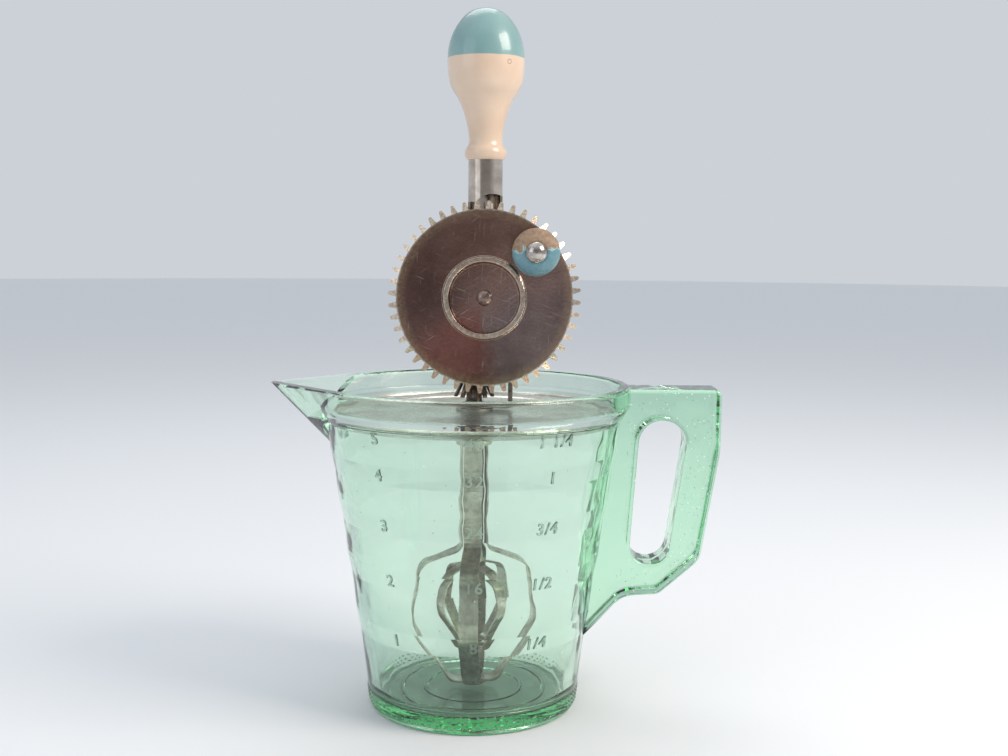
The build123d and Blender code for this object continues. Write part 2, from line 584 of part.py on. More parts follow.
# ---- The gear wheel: pressed sheet, its teeth cut in the rim and bent back --------------------
ring_in = RING_R - RING_W
sheet_front = WHEEL_BACK + WHEEL_SHEET
with BuildPart() as tooth:  # local x runs out along the tooth, local z to the wheel's front
    with BuildSketch():
        with BuildLine():
            half_root, half_tip = TOOTH_ROOT_W / 2, TOOTH_TIP_W / 2
            side = Polyline((WHEEL_ROOT_R - WHEEL_SHEET, half_root), (WHEEL_ROOT_R, half_root),
                            (WHEEL_TIP_R - half_tip, half_tip))
            point = ThreePointArc(side @ 1, (WHEEL_TIP_R, 0), (WHEEL_TIP_R - half_tip, -half_tip))
            Polyline(point @ 1, (WHEEL_ROOT_R, -half_root),
                     (WHEEL_ROOT_R - WHEEL_SHEET, -half_root), side @ 0)
        make_face()
    extrude(amount=sheet_front)
    with BuildSketch(Plane.XZ):
        with BuildLine():
            Polyline((WHEEL_ROOT_R - WHEEL_SHEET, WHEEL_BACK), (WHEEL_ROOT_R, WHEEL_BACK),
                     (WHEEL_TIP_R, WHEEL_BACK - TOOTH_LEAN), (WHEEL_TIP_R, sheet_front - TOOTH_LEAN),
                     (WHEEL_ROOT_R, sheet_front), (WHEEL_ROOT_R - WHEEL_SHEET, sheet_front), close=True)
        make_face()
    extrude(amount=TOOTH_ROOT_W, both=True, mode=Mode.INTERSECT)

with BuildPart() as drive_wheel:
    with BuildSketch(WHEEL_PLANE):
        with BuildLine():
            front = FilletPolyline(
                (AXLE_R + RUN, DISH_FRONT), (ring_in - 0.5, DISH_FRONT),
                (ring_in + 0.3, WHEEL_FACE - RING_UP), (RING_R - 0.7, WHEEL_FACE - RING_UP),
                (RING_R, WHEEL_FACE), (WHEEL_ROOT_R, WHEEL_FACE), radius=RING_BEND)
            rear = FilletPolyline(
                (AXLE_R + RUN, DISH_REAR), (ring_in, DISH_REAR),
                (ring_in + 0.8, DISH_REAR - DISH_BACK - RING_UP),
                (RING_R - 1.2, DISH_REAR - DISH_BACK - RING_UP), (RING_R - 0.5, -WHEEL_BACK),
                (WHEEL_ROOT_R, -WHEEL_BACK), radius=RING_BEND - 0.2)
            Line(front @ 0, rear @ 0)
            Line(front @ 1, rear @ 1)
        make_face()
    revolve(axis=WHEEL_AXIS)
    with Locations(Plane(origin=(FRAME_X, 0, WHEEL_Z), x_dir=(0, 0, -1), z_dir=(0, -1, 0))):
        with PolarLocations(0, WHEEL_TEETH, start_angle=-FIRST_TOOTH):
            add(tooth.part)
    with BuildSketch(Plane.XZ):
        with Locations((KNOB_X, KNOB_Z)):
            Circle(KNOB_STUD_R + SEAT)
    extrude(amount=WHEEL_BACK * 2, mode=Mode.SUBTRACT)
save(drive_wheel, "drive_wheel")

# ---- The crank knob on its stud ----------------------------------------------------------------
with BuildPart() as knob_stud:
    tail_end = -WHEEL_BACK + STUD_TAIL_T
    cap_back = KNOB_FRONT - RUN
    with BuildSketch(KNOB_PLANE):
        with BuildLine():
            shaft = Polyline((0, tail_end), (STUD_TAIL_R, tail_end), (STUD_TAIL_R, -WHEEL_BACK),
                             (KNOB_STUD_R, -WHEEL_BACK), (KNOB_STUD_R, cap_back),
                             (KNOB_HEAD_R, cap_back))
            tip = cap_back - KNOB_HEAD_T
            cap = ThreePointArc(shaft @ 1, crest(KNOB_HEAD_R, cap_back, tip), (0, tip))
            Line(cap @ 1, shaft @ 0)
        make_face()
    revolve(axis=KNOB_AXIS)
save(knob_stud, "knob_stud")

with BuildPart() as knob_washer:
    with BuildSketch(KNOB_PLANE):
        with Locations((KNOB_STUD_R + SEAT, WHEEL_FACE)):
            Rectangle(KNOB_WASHER_R - KNOB_STUD_R - SEAT, KNOB_WASHER_T,
                      align=(Align.MIN, Align.MAX))
    revolve(axis=KNOB_AXIS)
save(knob_washer, "knob_washer")

with BuildPart() as crank_knob:
    with BuildSketch(KNOB_PLANE):
        with BuildLine():
            back = Line((KNOB_STUD_R + RUN, KNOB_BACK), (KNOB_NECK_R, KNOB_BACK))
            belly = Spline(back @ 1, (KNOB_NECK_R, KNOB_BACK - KNOB_LONG * KNOB_NECK_AT),
                           (KNOB_R, KNOB_BACK - KNOB_LONG * KNOB_WIDEST_AT), (KNOB_END_R, KNOB_FRONT),
                           tangents=((0, -1), (-1, -0.25)))
            Polyline(belly @ 1, (KNOB_STUD_R + RUN, KNOB_FRONT), back @ 0)
        make_face()
    revolve(axis=KNOB_AXIS)
save(crank_knob, "crank_knob")

# ---- The spindle with its pinion -----------------------------------------------------------------
with BuildPart() as spindle:
    with BuildSketch(Plane.XY.offset(SPINDLE_FOOT_Z)):
        Circle(SPINDLE_R)
    extrude(amount=BRACKET_HEAD_Z + SPINDLE_END_UP - SPINDLE_FOOT_Z)
    chamfer(spindle.edges().group_by(Axis.Z)[-1], 0.4)
    with BuildSketch(Plane.XY.offset(SPINDLE_FOOT_Z)):
        Circle(FOOT_RIVET_R + SEAT)
    extrude(amount=FOOT_RIVET_IN, mode=Mode.SUBTRACT)
save(spindle, "spindle")

with BuildPart() as thrust_washer:
    with BuildSketch(Plane.XY.offset(THRUST_Z)):
        Circle(THRUST_R)
        Circle(SPINDLE_R + SEAT, mode=Mode.SUBTRACT)
    extrude(amount=THRUST_T)
save(thrust_washer, "thrust_washer")

with BuildPart() as pinion:
    with BuildSketch(Plane.XY.offset(PINION_FOOT_Z)):
        Circle(PINION_HUB_R)
    extrude(amount=PINION_TOP_Z - PINION_FOOT_Z)
    with BuildSketch(Plane.XY.offset(PINION_TOP_Z - PINION_PLATE_T)):
        Circle(PINION_PLATE_R)
    extrude(amount=PINION_PLATE_T)
    for tooth in range(PINION_TEETH):
        with BuildSketch(upright(tooth * 360 / PINION_TEETH - 90)):
            with BuildLine():
                finger = Line((FINGER_TOP_R, PINION_TOP_Z), (FINGER_FOOT_R, FINGER_FOOT_Z))
                Polyline(finger @ 1, (FINGER_FOOT_R - FINGER_THICK, FINGER_FOOT_Z),
                         (FINGER_TOP_R - FINGER_THICK, PINION_TOP_Z), finger @ 0)
            make_face()
        extrude(amount=FINGER_WIDE / 2, both=True)
    Cylinder(SPINDLE_R + SEAT, PINION_TOP_Z * 2 + 1, mode=Mode.SUBTRACT)
save(pinion, "pinion")

# ---- The dasher: four bent strips clamped round the spindle --------------------------------------
with BuildPart() as dasher_collar:
    with BuildSketch(Plane.XY.offset(STRIP_TOP_Z)):
        Circle(DASHER_COLLAR_R)
        Circle(SPINDLE_R + SEAT, mode=Mode.SUBTRACT)
    extrude(amount=COLLAR_T)
    chamfer(dasher_collar.edges().group_by(Axis.Z)[-1].sort_by(SortBy.RADIUS)[-1], 0.8)
save(dasher_collar, "dasher_collar")

with BuildPart() as strip_band:
    with BuildSketch(Plane.XY.offset(STRIP_TOP_Z - BAND_H)):
        Circle(DASHER_COLLAR_R)
        Circle(DASHER_COLLAR_R - BAND_T, mode=Mode.SUBTRACT)
    extrude(amount=BAND_H)
save(strip_band, "strip_band")

# name, azimuth, distance of the strip's inner face from the axis, half width, rise of the kink
# over the crossing, belly radius, height of the crossing, radius of its hole
INNER_FOOT_Z = CROSS_Z + INNER_FOOT_UP
RIVET_HOLE_R = FOOT_RIVET_R + SEAT
outer = (OUTER_HALF_W, OUTER_KINK_UP, OUTER_BELLY_R)
inner = (INNER_HALF_W, INNER_KINK_UP, INNER_BELLY_R)
LOOPS = (
    ("outer_loop_a", 267, OUTER_A_R, *outer, CROSS_Z + STRIP_T, RIVET_HOLE_R),
    ("outer_loop_b", 8, OUTER_B_R, *outer, CROSS_Z, RIVET_HOLE_R),
    ("inner_loop_a", 42, INNER_INSIDE_R, *inner, INNER_FOOT_Z + STRIP_T, SPINDLE_R + SEAT),
    ("inner_loop_b", 132, INNER_INSIDE_R, *inner, INNER_FOOT_Z, SPINDLE_R + SEAT),
)
for name, azimuth, inside, half_width, reach, belly_r, foot_z, hole_r in LOOPS:
    kink_z = foot_z + reach
    with BuildPart() as loop:
        with BuildSketch(upright(azimuth)) as hoop:
            with BuildLine():
                side = FilletPolyline(
                    (inside + STRIP_T, STRIP_TOP_Z), (inside + STRIP_T, kink_z),
                    (belly_r * SHOULDER_SHARE[0], kink_z - reach * SHOULDER_SHARE[1]),
                    (belly_r, foot_z + reach * BELLY_SHARE), (belly_r * HEEL_SHARE, foot_z),
                    (0, foot_z), radius=LOOP_BENDS)
                mirror(side, about=Plane.YZ)
                Line(side @ 0, (-inside - STRIP_T, STRIP_TOP_Z))
            make_face()
            offset(amount=-STRIP_T, mode=Mode.SUBTRACT)
            with Locations((0, STRIP_TOP_Z)):
                Rectangle(inside * 2, STRIP_T * 2, mode=Mode.SUBTRACT)
        extrude(amount=half_width, both=True)
        with BuildSketch(Plane.XY.offset(foot_z - STRIP_T)):
            Circle(hole_r)
        extrude(amount=STRIP_T * 3, mode=Mode.SUBTRACT)
    save(loop, name)

with BuildPart() as foot_washer:
    with BuildSketch(Plane.XY.offset(WASHER_Z)):
        Circle(FOOT_WASHER_R)
        Circle(FOOT_RIVET_R + SEAT, mode=Mode.SUBTRACT)
    extrude(amount=FOOT_WASHER_T)
    fillet(foot_washer.edges().group_by(Axis.Z)[0].sort_by(SortBy.RADIUS)[-1], 0.5)
save(foot_washer, "foot_washer")

with BuildPart() as foot_rivet:
    with BuildSketch(Plane.XZ):
        with BuildLine():
            shank = Polyline((0, SPINDLE_FOOT_Z + FOOT_RIVET_IN),
                             (FOOT_RIVET_R, SPINDLE_FOOT_Z + FOOT_RIVET_IN),
                             (FOOT_RIVET_R, WASHER_Z), (FOOT_HEAD_R, WASHER_Z))
            cap = ThreePointArc(shank @ 1, crest(FOOT_HEAD_R, WASHER_Z, FOOT_Z), (0, FOOT_Z))
            Line(cap @ 1, shank @ 0)
        make_face()
    revolve(axis=Axis.Z)
save(foot_rivet, "foot_rivet")
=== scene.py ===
"""The looks of a glass measuring jug with a hand-cranked mixer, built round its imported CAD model.

The jug stands on z = 0 with its spout towards -X and its handle towards +X, and the gear wheel
faces -Y. Blender works in metres; the sizes below are millimetres and go through mm(), apart from
those of the floor and the lamps, which are metres.
"""

import logging
import math
from dataclasses import dataclass, field
from enum import Enum

import bmesh
import bpy
from mathutils import Matrix, Vector
from mathutils.bvhtree import BVHTree


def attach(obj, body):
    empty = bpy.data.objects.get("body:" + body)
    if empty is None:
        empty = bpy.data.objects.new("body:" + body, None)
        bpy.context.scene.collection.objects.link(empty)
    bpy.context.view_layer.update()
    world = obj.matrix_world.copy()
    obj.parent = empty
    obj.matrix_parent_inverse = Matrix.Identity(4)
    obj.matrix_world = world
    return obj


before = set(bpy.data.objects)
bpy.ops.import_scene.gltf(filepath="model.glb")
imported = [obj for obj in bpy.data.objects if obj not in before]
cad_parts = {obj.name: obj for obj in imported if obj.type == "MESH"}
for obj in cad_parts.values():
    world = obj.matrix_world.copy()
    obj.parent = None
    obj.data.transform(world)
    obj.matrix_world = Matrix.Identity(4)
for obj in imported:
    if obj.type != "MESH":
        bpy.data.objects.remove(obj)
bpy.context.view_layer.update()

LOG = logging.getLogger("mixer_jug")
MM_PER_M = 1000.0
WHOLE = (0.0, 1.0)

Point = tuple[float, float, float]
Span = tuple[float, float]
Socket = bpy.types.NodeSocket
Value = float | Socket
Colour = str | Socket


def mm(value: float) -> float:
    """Millimetres in metres."""
    return value / MM_PER_M


def linear(code: str, alpha: float = 1.0) -> tuple[float, float, float, float]:
    """Turns an sRGB hex colour to linear.

    Args:
        code: The colour as six hex digits.
        alpha: The fourth value.

    Returns:
        Red, green, blue and alpha for a colour socket.
    """
    parts = [int(code[i:i + 2], 16) / 255 for i in (0, 2, 4)]
    turned = [p / 12.92 if p <= 0.04045 else ((p + 0.055) / 1.055) ** 2.4 for p in parts]
    return (*turned, alpha)


@dataclass(frozen=True)
class Graph:
    """A node tree, with short ways to add the nodes that are used most."""

    tree: bpy.types.NodeTree

    def feed(self, target: Socket, value: object) -> None:
        """Links an output to an input socket, or gives the input a plain value."""
        if isinstance(value, Socket):
            self.tree.links.new(value, target)
        else:
            target.default_value = value

    def add(self, kind: str, inputs: dict | None = None, **settings: object) -> bpy.types.Node:
        """Adds a node with its settings, values and links.

        Args:
            kind: The node's type name.
            inputs: Values or output sockets, by the input's name or number.
            settings: Properties of the node itself.

        Returns:
            The new node.
        """
        made = self.tree.nodes.new(kind)
        for name, value in settings.items():
            setattr(made, name, value)
        for key, value in (inputs or {}).items():
            self.feed(made.inputs[key], value)
        return made

    def calc(self, operation: str, *values: Value, clamp: bool = False) -> Socket:
        """One step of arithmetic.

        Args:
            operation: The step's name.
            values: What goes in, in order.
            clamp: Whether the result is kept from 0 to 1.

        Returns:
            The result's socket.
        """
        step = self.add("ShaderNodeMath", dict(enumerate(values)), operation=operation, use_clamp=clamp)
        return step.outputs[0]

    def spread(self, value: Socket, source: Span, target: Span = WHOLE, **settings: object) -> Socket:
        """Maps one span of values to another, and holds its ends.

        Args:
            value: What is mapped.
            source: The span that it comes from.
            target: The span that it goes to.
            settings: Properties of the node itself.

        Returns:
            The result's socket.
        """
        ends = {"From Min": source[0], "From Max": source[1], "To Min": target[0], "To Max": target[1]}
        return self.add("ShaderNodeMapRange", {"Value": value, **ends}, **settings).outputs["Result"]

    def noise(self, where: Socket, per_m: float, detail: float = 2.0, roughness: float = 0.5) -> Socket:
        """Cloudy noise from 0 to 1.

        Args:
            where: The place that it is read at.
            per_m: Clouds to the metre.
            detail: How many finer layers lie on it.
            roughness: How strong each finer layer is.

        Returns:
            The noise's socket.
        """
        inputs = {"Vector": where, "Scale": per_m, "Detail": detail, "Roughness": roughness}
        return self.add("ShaderNodeTexNoise", inputs).outputs["Fac"]

    def mapped(self, where: Socket, **inputs: Point) -> Socket:
        """A place that is moved, turned or stretched."""
        return self.add("ShaderNodeMapping", {"Vector": where, **inputs}).outputs["Vector"]

    def axes(self, where: Socket) -> bpy.types.NodeOutputs:
        """The X, Y and Z of a place, as three sockets."""
        return self.add("ShaderNodeSeparateXYZ", {"Vector": where}).outputs

    def blend(self, factor: Value, under: Colour, over: Colour, mode: str = "MIX") -> Socket:
        """Lays one colour over another.

        Args:
            factor: How much of the upper colour shows.
            under: The lower colour, as a socket or hex digits.
            over: The upper colour.
            mode: How the two are blended.

        Returns:
            The blended colour's socket.
        """
        lower, upper = (linear(c) if isinstance(c, str) else c for c in (under, over))
        inputs = {"Fac": factor, "Color1": lower, "Color2": upper}
        return self.add("ShaderNodeMixRGB", inputs, blend_type=mode).outputs["Color"]

    def ramp(self, factor: Socket, *stops: tuple[float, str]) -> Socket:
        """A colour ramp through hex colours.

        Args:
            factor: What drives it.
            stops: Pairs of position and hex colour, in order.

        Returns:
            The ramp's colour socket.
        """
        made = self.add("ShaderNodeValToRGB", {"Fac": factor})
        elements = made.color_ramp.elements
        while len(elements) < len(stops):
            elements.new(1.0)
        for element, (position, code) in zip(elements, stops):
            element.position = position
            element.color = linear(code)
        return made.outputs["Color"]


@dataclass(frozen=True)
class Surface(Graph):
    """A material's node tree, with its shader and the place that is shaded."""

    shader: bpy.types.Node
    place: Socket

    def give(self, name: str, value: object) -> None:
        """Gives one input of the shader its value or link."""
        self.feed(self.shader.inputs[name], value)

    def bump(self, height: Socket, depth_mm: float) -> None:
        """Lets a height from 0 to 1 stand depth_mm out of the surface."""
        made = self.add("ShaderNodeBump", {"Height": height, "Strength": 1.0, "Distance": mm(depth_mm)})
        self.give("Normal", made.outputs["Normal"])


@dataclass(frozen=True)
class Finish:
    """A surface finish. Each kind adds what is drawn on it."""

    name: str
    roughness: float
    metallic: float = 0.0

    def material(self) -> bpy.types.Material:
        """Builds the material, once."""
        made = bpy.data.materials.get(self.name)
        if made:
            return made
        made = bpy.data.materials.new(self.name)
        made.use_nodes = True
        graph = Graph(made.node_tree)
        place = graph.add("ShaderNodeTexCoord").outputs["Object"]
        surface = Surface(graph.tree, graph.tree.nodes["Principled BSDF"], place)
        surface.give("Roughness", self.roughness)
        surface.give("Metallic", self.metallic)
        self.draw(surface)
        return made

    def draw(self, surface: Surface) -> None:
        """Adds the finish's own pattern to its surface."""


@dataclass(frozen=True)
class PressedGlass(Finish):
    """Pressed soda-lime glass with some iron in it: clear in a thin wall, green in a thick one."""

    absorbs: str = "3cf29a"
    density: float = 20.0
    refraction: float = 1.52
    skin: str = "f4fbf6"
    seed: str = "ffffff"
    ripple_mm: float = 16.0
    ripple_bump_mm: float = 0.35
    seed_cell_mm: float = 1.9
    seed_share: float = 0.15  # a seed's radius, as a share of its cell
    seed_clear: float = 0.25
    grip_start_mm: Span = (66.0, 76.0)
    cells_with_seed: Span = (0.015, 0.8)  # on the wall and on the grip

    def draw(self, surface: Surface) -> None:
        """Slow mould ripple, fire-polished gloss, and fine light seeds, thick on the grip."""
        surface.give("IOR", self.refraction)
        inputs = {"Vector": surface.place, "Scale": MM_PER_M / self.seed_cell_mm}
        cells = surface.add("ShaderNodeTexVoronoi", inputs).outputs
        inside = surface.calc("LESS_THAN", cells["Distance"], self.seed_share)
        chance = surface.add("ShaderNodeSeparateColor", {"Color": cells["Color"]}).outputs["Red"]
        start, end = self.grip_start_mm
        crowd = surface.spread(surface.axes(surface.place)["X"], (mm(start), mm(end)), self.cells_with_seed)
        speck = surface.calc("MULTIPLY", inside, surface.calc("LESS_THAN", chance, crowd))
        surface.give("Transmission Weight", surface.spread(speck, WHOLE, (1.0, self.seed_clear)))
        surface.give("Base Color", surface.blend(speck, self.skin, self.seed))
        surface.bump(surface.noise(surface.place, MM_PER_M / self.ripple_mm, detail=1.0), self.ripple_bump_mm)
        inputs = {"Color": linear(self.absorbs), "Density": self.density}
        depth = surface.add("ShaderNodeVolumeAbsorption", inputs).outputs["Volume"]
        surface.feed(surface.tree.nodes["Material Output"].inputs["Volume"], depth)


@dataclass(frozen=True)
class SheetMetal(Finish):
    """Plated or bare sheet and strip: a base colour, patchy tarnish and fine drawn lines."""

    light: str = "b8b2a8"
    dark: str = "6e675f"
    tarnish: Span = (0.32, 0.62)  # where the noise is wholly dark and wholly light
    rough_patch: Span = (0.3, 0.7)
    patch_mm: float = 9.0
    grain: Point = (1.0, 1.0, 1.0)
    grain_mm: float = 0.6
    rough_spread: float = 0.12
    bump_mm: float = 0.02

    def draw(self, surface: Surface) -> None:
        """Tarnish in patches of patch_mm, and lines of grain_mm along the axis whose grain is small."""
        patch = surface.noise(surface.place, MM_PER_M / self.patch_mm, detail=5.0, roughness=0.62)
        drawn = surface.mapped(surface.place, Scale=self.grain)
        first, last = self.tarnish
        surface.give("Base Color", surface.ramp(patch, (first, self.dark), (last, self.light)))
        rough = (self.roughness + self.rough_spread, self.roughness)
        surface.give("Roughness", surface.spread(patch, self.rough_patch, rough))
        surface.bump(surface.noise(drawn, MM_PER_M / self.grain_mm), self.bump_mm)


@dataclass(frozen=True)
class WheelNickel(Finish):
    """Nickel plate on a pressed steel wheel: red-brown stain and painted reflection on its face, worn bright
    on teeth and ring.
    """

    axle: Span = (4.5, 187.3)
    root_mm: float = 38.9
    ring_mm: Span = (15.6, 18.9)
    scratch_angles: tuple[float, ...] = (0.6, -0.35, 1.5)
    brown: str = "684e48"
    red: str = "8d534a"
    grey: str = "8a7d7b"
    rosy: str = "a98375"
    dish: str = "93776f"
    rubbed_rim: str = "b59a7c"
    scratch: str = "b5a69c"
    cloud_per_m: float = 26.0
    fine_per_m: float = 900.0
    fine_share: float = 0.16
    drift: Span = (0.22, -0.125)  # how far the noise moves the stain and painted reflection round the axle, and where they start
    mottle_light: Span = (0.42, 0.72)
    mottle_share: float = 0.7
    dish_share: Span = (0.35, 1.0)  # at the dish's edge and at the axle
    dish_mm: Span = (13.6, 2.0)
    rub_mm: Span = (4.5, 0.5)  # inside the teeth's root
    rub_share: float = 0.8
    worn_roughness: float = 0.2
    rim_blur_mm: Span = (0.5, 0.3)
    ring_blur_mm: Span = (0.4, 0.2)
    ring_polish: float = 0.75
    scratch_long: Point = (0.05, 1, 1)
    scratch_per_m: float = 1700.0
    scratch_span: Span = (0.69, 0.75)
    scratch_share: float = 0.55
    bump_mm: float = 0.03

    def draw(self, surface: Surface) -> None:
        """Stain and painted reflection by noise and by angle round the axle, and wear by the distance from
        the axle.
        """
        across, up = self.axle
        where = surface.mapped(surface.place, Location=(-mm(across), 0, -mm(up)))
        inputs = {0: where, 1: (MM_PER_M, 0, MM_PER_M)}
        flat = surface.add("ShaderNodeVectorMath", inputs, operation="MULTIPLY").outputs[0]
        reach = surface.add("ShaderNodeVectorMath", {0: flat}, operation="LENGTH").outputs["Value"]
        cloud = surface.noise(where, self.cloud_per_m, detail=6.0, roughness=0.6)
        fine = surface.noise(where, self.fine_per_m, detail=3.0)
        mottle = surface.calc("MULTIPLY_ADD", fine, self.fine_share, cloud)
        stain_and_reflection = self.stain_and_painted_reflection(surface, where, mottle, reach)
        first, last = self.rub_mm
        near_rim = surface.spread(reach, (self.root_mm - first, self.root_mm - last), (0.0, self.rub_share))
        stain_and_reflection = surface.blend(surface.calc("MULTIPLY", near_rim, fine), stain_and_reflection, self.rubbed_rim)
        for angle in self.scratch_angles:
            stain_and_reflection = self.scratched(surface, where, stain_and_reflection, angle)
        worn = self.worn(surface, reach)
        bright = surface.ramp(fine, (0.3, "b39d88"), (0.7, "e2d6c6"))
        surface.give("Base Color", surface.blend(worn, stain_and_reflection, bright))
        surface.give("Roughness", surface.spread(worn, WHOLE, (self.roughness, self.worn_roughness)))
        surface.bump(fine, self.bump_mm)

    def stain_and_painted_reflection(self, surface: Surface, where: Socket, mottle: Socket, reach: Socket) -> Socket:
        """The colours round the axle, partly stain and partly painted reflection: brown, red, grey and rosy,
        and evener in the dish.

        Args:
            surface: What it is drawn on.
            where: The place, from the axle.
            mottle: Noise that breaks it up.
            reach: The distance from the axle in mm.

        Returns:
            The colour of the stain and painted reflection.
        """
        apart = surface.axes(where)
        face = surface.add("ShaderNodeCombineXYZ", {"X": apart["X"], "Y": apart["Z"]}).outputs[0]
        turn = surface.add("ShaderNodeTexGradient", {"Vector": face}, gradient_type="RADIAL").outputs["Fac"]
        around = surface.calc("ADD", turn, surface.calc("MULTIPLY_ADD", mottle, *self.drift))
        # Painted reflection mixed with real stain: red at the lower left, grey at the lower right, rosy near
        # the top, set by the angle round the axle.
        patina_and_reflection = surface.ramp(around, (0.07, self.brown), (0.15, self.red), (0.23, self.red),
                              (0.28, self.grey), (0.45, self.grey), (0.7, self.rosy), (1.0, self.brown))
        patina_and_reflection = surface.blend(surface.spread(reach, self.dish_mm, self.dish_share), patina_and_reflection, self.dish)
        dark, light = self.mottle_light
        shade = surface.ramp(mottle, (dark, "8f8784"), (light, "ffffff"))
        return surface.blend(self.mottle_share, patina_and_reflection, shade, "MULTIPLY")

    def worn(self, surface: Surface, reach: Socket) -> Socket:
        """How far the plate is rubbed bright: wholly on the teeth, and for the most part on the ring."""
        before, after = self.rim_blur_mm
        ends = (self.root_mm - before, self.root_mm + after)
        rim = surface.spread(reach, ends, interpolation_type="SMOOTHSTEP")
        before, after = self.ring_blur_mm
        inner, outer = (surface.spread(reach, (edge - before, edge + after)) for edge in self.ring_mm)
        ring = surface.calc("SUBTRACT", inner, outer, clamp=True)
        return surface.calc("MAXIMUM", rim, surface.calc("MULTIPLY", ring, self.ring_polish))

    def scratched(self, surface: Surface, where: Socket, under: Socket, angle: float) -> Socket:
        """Fine bright scratches over a colour.

        Args:
            surface: What they are drawn on.
            where: The place, from the axle.
            under: The colour beneath them.
            angle: Their direction on the wheel's face, in radians.

        Returns:
            The colour with its scratches.
        """
        drawn = surface.mapped(surface.mapped(where, Rotation=(0, angle, 0)), Scale=self.scratch_long)
        hair = surface.noise(drawn, self.scratch_per_m, detail=1.0)
        shown = surface.spread(hair, self.scratch_span, (0.0, self.scratch_share))
        return surface.blend(shown, under, self.scratch)


@dataclass(frozen=True)
class GlossPaint(Finish):
    """Two coats of gloss enamel on turned beech: cream, with a blue-green cap dipped over its top."""

    cream: str = "e6ccb4"
    aged_cream: str = "d8bca2"
    cap: str = "86aaa8"
    aged_cap: str = "789e9e"
    chip: str = "b3977f"
    coat: float = 0.6
    coat_roughness: float = 0.06
    line_mm: float = 292.5
    line_blur_mm: Span = (0.2, 0.5)
    line_waver_mm: float = 0.6
    waver_per_m: float = 90.0
    age_per_m: float = 55.0
    turned_per_m: float = 420.0
    turned_waver: float = 0.6
    chip_at_mm: Point = (14.9, -13.6, 289.8)
    chip_r_mm: float = 0.95
    chip_line_mm: float = 0.2
    turned_bump_mm: float = 0.012

    def draw(self, surface: Surface) -> None:
        """The dip line with its slight waver, faint yellowing, and one small ring-shaped chip."""
        surface.give("Coat Weight", self.coat)
        surface.give("Coat Roughness", self.coat_roughness)
        place = surface.place
        waver = surface.noise(place, self.waver_per_m)
        level = surface.calc("MULTIPLY_ADD", waver, mm(self.line_waver_mm), surface.axes(place)["Z"])
        first, last = self.line_blur_mm
        above = surface.spread(level, (mm(self.line_mm + first), mm(self.line_mm + last)))
        age = surface.noise(place, self.age_per_m, detail=5.0)
        pale = surface.ramp(age, (0.3, self.aged_cream), (0.7, self.cream))
        dipped = surface.ramp(age, (0.3, self.aged_cap), (0.7, self.cap))
        inputs = {0: place, 1: [mm(v) for v in self.chip_at_mm]}
        gap = surface.add("ShaderNodeVectorMath", inputs, operation="DISTANCE").outputs["Value"]
        near = surface.calc("ABSOLUTE", surface.calc("SUBTRACT", gap, mm(self.chip_r_mm)))
        chipped = surface.calc("LESS_THAN", near, mm(self.chip_line_mm))
        surface.give("Base Color", surface.blend(chipped, surface.blend(above, pale, dipped), self.chip))
        turned = {"Vector": place, "Scale": self.turned_per_m, "Distortion": self.turned_waver}
        lines = surface.add("ShaderNodeTexWave", turned, bands_direction="Z").outputs["Fac"]
        surface.bump(lines, self.turned_bump_mm)


@dataclass(frozen=True)
class WornPaint(Finish):
    """Blue-green enamel on a turned beech knob, rubbed to the bare wood where the fingers hold it."""

    paint: str = "7a9fa8"
    dark_paint: str = "5a858f"
    thin_paint: str = "a5cdd0"
    wood: str = "a88e76"
    dark_wood: str = "8a715c"
    middle_z_mm: float = 207.9
    waver_mm: float = 15.0
    waver_per_m: float = 170.0
    above_mm: float = 1.2
    edge_blur_mm: float = 0.3
    thin_band_mm: Span = (0.7, 0.2)  # under the paint's edge
    grain_long: Point = (1.0, 0.12, 1.0)
    grain_per_m: float = 700.0
    film_mm: float = 0.06
    wood_roughness: float = 0.7

    def draw(self, surface: Surface) -> None:
        """Bare wood on the upper part, with a broken edge, and paint below."""
        place = surface.place
        broken = surface.noise(place, self.waver_per_m, detail=6.0, roughness=0.7)
        edge = self.middle_z_mm + self.waver_mm / 2 + self.above_mm
        level = surface.calc("MULTIPLY_ADD", broken, mm(self.waver_mm), surface.axes(place)["Z"])
        bare = surface.spread(level, (mm(edge), mm(edge + self.edge_blur_mm)))
        first, last = self.thin_band_mm
        rubbed = surface.spread(level, (mm(edge - first), mm(edge - last)))
        grain = surface.noise(surface.mapped(place, Scale=self.grain_long), self.grain_per_m, detail=4.0)
        timber = surface.ramp(grain, (0.3, self.dark_wood), (0.7, self.wood))
        coat = surface.ramp(broken, (0.3, self.dark_paint), (0.7, self.paint))
        coat = surface.blend(rubbed, coat, self.thin_paint)
        surface.give("Base Color", surface.blend(bare, coat, timber))
        surface.give("Roughness", surface.spread(bare, WHOLE, (self.roughness, self.wood_roughness)))
        surface.bump(surface.calc("MULTIPLY_ADD", bare, -1.0, 1.0), self.film_mm)


GLASS = PressedGlass("pressed_green_glass", roughness=0.02)
MARK_GLASS = PressedGlass("pressed_glass_marks", roughness=0.35)
LID_TIN = SheetMetal("tinned_lid_sheet", roughness=0.22, metallic=1.0, light="e6dfd6", dark="bdb2a5",
                     patch_mm=14, grain_mm=1.1, bump_mm=0.03)
DULL_STEEL = SheetMetal("dull_plated_steel", roughness=0.34, metallic=1.0, light="a39b92", dark="5b524a",
                        patch_mm=4)
NICKEL = SheetMetal("bright_nickel_tube", roughness=0.13, metallic=1.0, light="d8cdc2", dark="a8988a",
                    patch_mm=11, grain=(1, 1, 0.05), rough_spread=0.08, bump_mm=0.008)
WHEEL = WheelNickel("stained_nickel_wheel", roughness=0.26, metallic=1.0)
AXLE = SheetMetal("stained_axle_rivet", roughness=0.3, metallic=1.0, light="ab978d", dark="66524b",
                  patch_mm=3)
